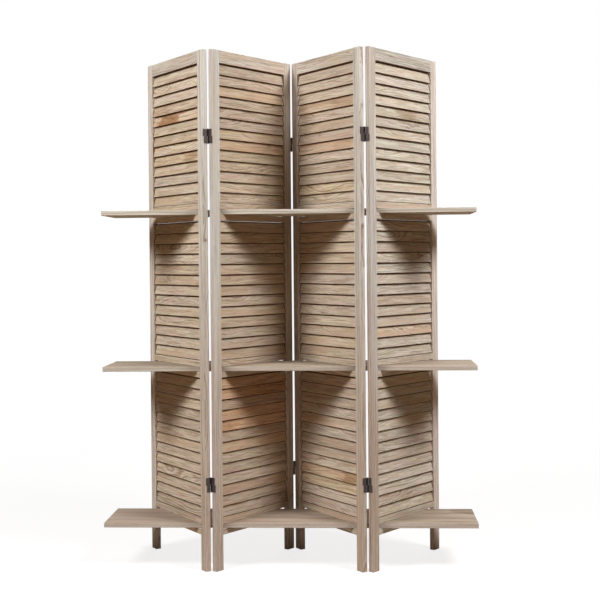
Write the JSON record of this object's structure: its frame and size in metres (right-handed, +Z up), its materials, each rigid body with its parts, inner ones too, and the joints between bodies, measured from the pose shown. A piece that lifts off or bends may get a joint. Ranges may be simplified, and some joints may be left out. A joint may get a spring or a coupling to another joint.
{
  "type": "folding screen with shelves",
  "caption": "Free-standing folding screen of louvred wooden panels hinged in a zigzag, with long shelf boards running through slots in every panel.",
  "frame": {"origin": "on the floor, at the middle of the bounding box of the standing screen", "axes": "+X along the shelf boards to the viewer's right, +Y away from the viewer, +Z up"},
  "size_m": [1.23, 0.3372, 1.7],
  "materials": {
    "stile_wood": "unvarnished pale softwood, planed",
    "slatted_wood": "unvarnished pale softwood, planed",
    "rail_wood": "unvarnished pale softwood, planed",
    "shelf_wood": "unvarnished pale softwood board with an open grain",
    "hinge_bronze": "dark bronze, slightly worn"
  },
  "bodies": {
    "panel_1": {"panel_1_slatted_stile": "slatted_wood", "panel_1_housed_stile": "stile_wood", "panel_1_rail_below_bottom_shelf": "rail_wood", "panel_1_rail_above_bottom_shelf": "rail_wood", "panel_1_rail_below_middle_shelf": "rail_wood", "panel_1_rail_above_middle_shelf": "rail_wood", "panel_1_rail_below_top_shelf": "rail_wood", "panel_1_rail_above_top_shelf": "rail_wood", "panel_1_top_rail": "rail_wood", "hinge_12_lower_leaf_1": "hinge_bronze", "hinge_12_lower_pin": "hinge_bronze", "hinge_12_upper_leaf_1": "hinge_bronze", "hinge_12_upper_pin": "hinge_bronze"},
    "panel_2": {"panel_2_slatted_stile": "slatted_wood", "panel_2_housed_stile": "stile_wood", "panel_2_rail_below_bottom_shelf": "rail_wood", "panel_2_rail_above_bottom_shelf": "rail_wood", "panel_2_rail_below_middle_shelf": "rail_wood", "panel_2_rail_above_middle_shelf": "rail_wood", "panel_2_rail_below_top_shelf": "rail_wood", "panel_2_rail_above_top_shelf": "rail_wood", "panel_2_top_rail": "rail_wood", "hinge_12_lower_leaf_2": "hinge_bronze", "hinge_12_upper_leaf_2": "hinge_bronze", "hinge_23_lower_leaf_2": "hinge_bronze", "hinge_23_upper_leaf_2": "hinge_bronze"},
    "panel_3": {"panel_3_slatted_stile": "slatted_wood", "panel_3_housed_stile": "stile_wood", "panel_3_rail_below_bottom_shelf": "rail_wood", "panel_3_rail_above_bottom_shelf": "rail_wood", "panel_3_rail_below_middle_shelf": "rail_wood", "panel_3_rail_above_middle_shelf": "rail_wood", "panel_3_rail_below_top_shelf": "rail_wood", "panel_3_rail_above_top_shelf": "rail_wood", "panel_3_top_rail": "rail_wood", "hinge_23_lower_leaf_3": "hinge_bronze", "hinge_23_upper_leaf_3": "hinge_bronze", "hinge_34_lower_leaf_3": "hinge_bronze", "hinge_34_upper_leaf_3": "hinge_bronze"},
    "panel_4": {"panel_4_slatted_stile": "slatted_wood", "panel_4_housed_stile": "stile_wood", "panel_4_rail_below_bottom_shelf": "rail_wood", "panel_4_rail_above_bottom_shelf": "rail_wood", "panel_4_rail_below_middle_shelf": "rail_wood", "panel_4_rail_above_middle_shelf": "rail_wood", "panel_4_rail_below_top_shelf": "rail_wood", "panel_4_rail_above_top_shelf": "rail_wood", "panel_4_top_rail": "rail_wood", "hinge_34_lower_leaf_4": "hinge_bronze", "hinge_34_lower_pin": "hinge_bronze", "hinge_34_upper_leaf_4": "hinge_bronze", "hinge_34_upper_pin": "hinge_bronze"},
    "middle_pins": {"hinge_23_lower_pin": "hinge_bronze", "hinge_23_upper_pin": "hinge_bronze"},
    "bottom_board": {"bottom_shelf": "shelf_wood"},
    "middle_board": {"middle_shelf": "shelf_wood"},
    "top_board": {"top_shelf": "shelf_wood"}
  },
  "joints": [
    {"name": "fold_23", "type": "hinge", "parent": "panel_2", "child": "panel_3", "pos_m": [0, 0.15828, 0.85], "axis": [0, 0, -1], "range_deg": [0, 70]},
    {"name": "fold_12", "type": "hinge", "parent": "panel_2", "child": "panel_1", "pos_m": [-0.2545, -0.15828, 0.85], "axis": [0, 0, -1], "range_deg": [0, 70]},
    {"name": "fold_34", "type": "hinge", "parent": "panel_3", "child": "panel_4", "pos_m": [0.2545, -0.15828, 0.85], "axis": [0, 0, 1], "range_deg": [0, 70]},
    {"name": "middle_pins_turn", "type": "hinge", "parent": "panel_2", "child": "middle_pins", "pos_m": [0, 0.15828, 0.85], "axis": [0, 0, -1], "range_deg": [0, 35]},
    {"name": "bottom_shelf_slide", "type": "slide", "parent": "middle_pins", "child": "bottom_board", "axis": [1, 0, 0], "range_m": [-1.1, 1.1]},
    {"name": "middle_shelf_slide", "type": "slide", "parent": "middle_pins", "child": "middle_board", "axis": [1, 0, 0], "range_m": [-1.1, 1.1]},
    {"name": "top_shelf_slide", "type": "slide", "parent": "middle_pins", "child": "top_board", "axis": [1, 0, 0], "range_m": [-1.1, 1.1]}
  ],
  "couplings": [
    {"joint": "fold_12", "follows": "fold_23", "ratio": 1},
    {"joint": "fold_34", "follows": "fold_23", "ratio": 1},
    {"joint": "middle_pins_turn", "follows": "fold_23", "ratio": 0.5}
  ]
}
